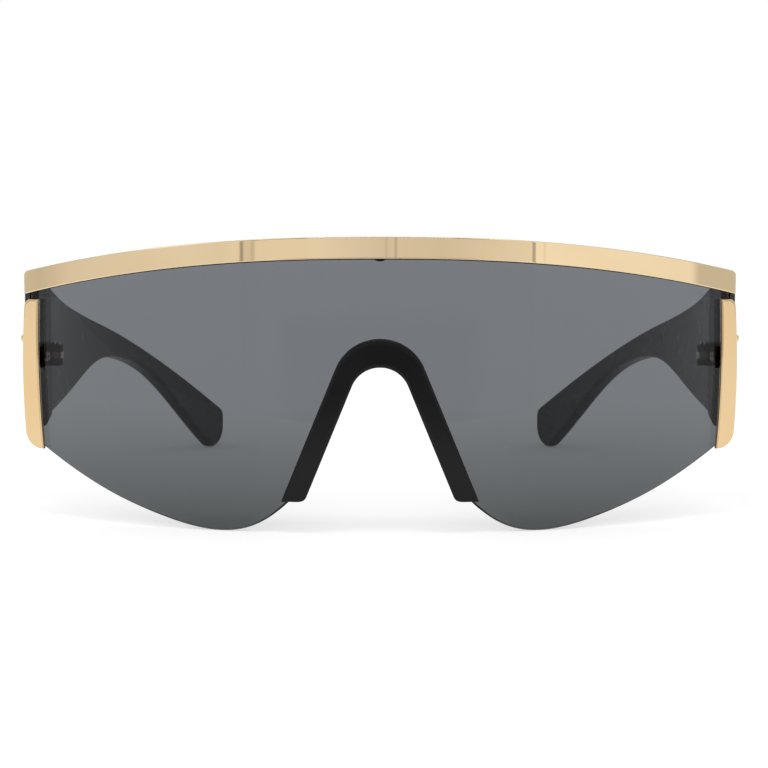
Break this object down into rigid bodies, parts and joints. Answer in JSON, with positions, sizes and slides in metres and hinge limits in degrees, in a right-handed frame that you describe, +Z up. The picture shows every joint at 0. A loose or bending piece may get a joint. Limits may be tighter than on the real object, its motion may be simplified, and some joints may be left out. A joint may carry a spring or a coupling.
{
  "type": "shield sunglasses",
  "caption": "Wraparound shield sunglasses: a curved grey lens under an arched gold brow bar, with a black nose bridge and folding black temples.",
  "frame": {"origin": "on the table, under the middle of the whole object's box", "axes": "+X across the front to the right hand as seen from the front, +Y from the front back to the ear tips, +Z up from the table"},
  "size_m": [0.1524, 0.1522, 0.0576],
  "materials": {
    "gold_metal": "polished pale gold plate",
    "black_frame": "satin black",
    "grey_lens": "polished grey tint, see-through",
    "black_nose": "satin black",
    "black_temple": "polished black",
    "steel": "plain"
  },
  "bodies": {
    "front": {"brow_bar": "gold_metal", "front_frame": "black_frame", "shield_lens": "grey_lens", "nose_bridge": "black_nose", "lens_screws": "steel", "side_trim_left": "gold_metal", "trim_screws_left": "steel", "hinge_front_leaf_left": "steel", "front_leaf_rivets_left": "steel", "hinge_screw_left": "steel", "side_trim_right": "gold_metal", "trim_screws_right": "steel", "hinge_front_leaf_right": "steel", "front_leaf_rivets_right": "steel", "hinge_screw_right": "steel"},
    "left_temple": {"temple_left": "black_temple", "hinge_temple_leaf_left": "steel", "temple_leaf_rivets_left": "steel", "temple_core_left": "steel", "temple_stud_left": "gold_metal"},
    "right_temple": {"temple_right": "black_temple", "hinge_temple_leaf_right": "steel", "temple_leaf_rivets_right": "steel", "temple_core_right": "steel", "temple_stud_right": "gold_metal"}
  },
  "joints": [
    {"name": "left_temple_fold", "type": "hinge", "parent": "front", "child": "left_temple", "pos_m": [-0.0672, -0.04043, 0.0324], "axis": [0, 0, -1], "range_deg": [0, 84]},
    {"name": "right_temple_fold", "type": "hinge", "parent": "front", "child": "right_temple", "pos_m": [0.0672, -0.04043, 0.0324], "axis": [0, 0, 1], "range_deg": [0, 77]}
  ]
}
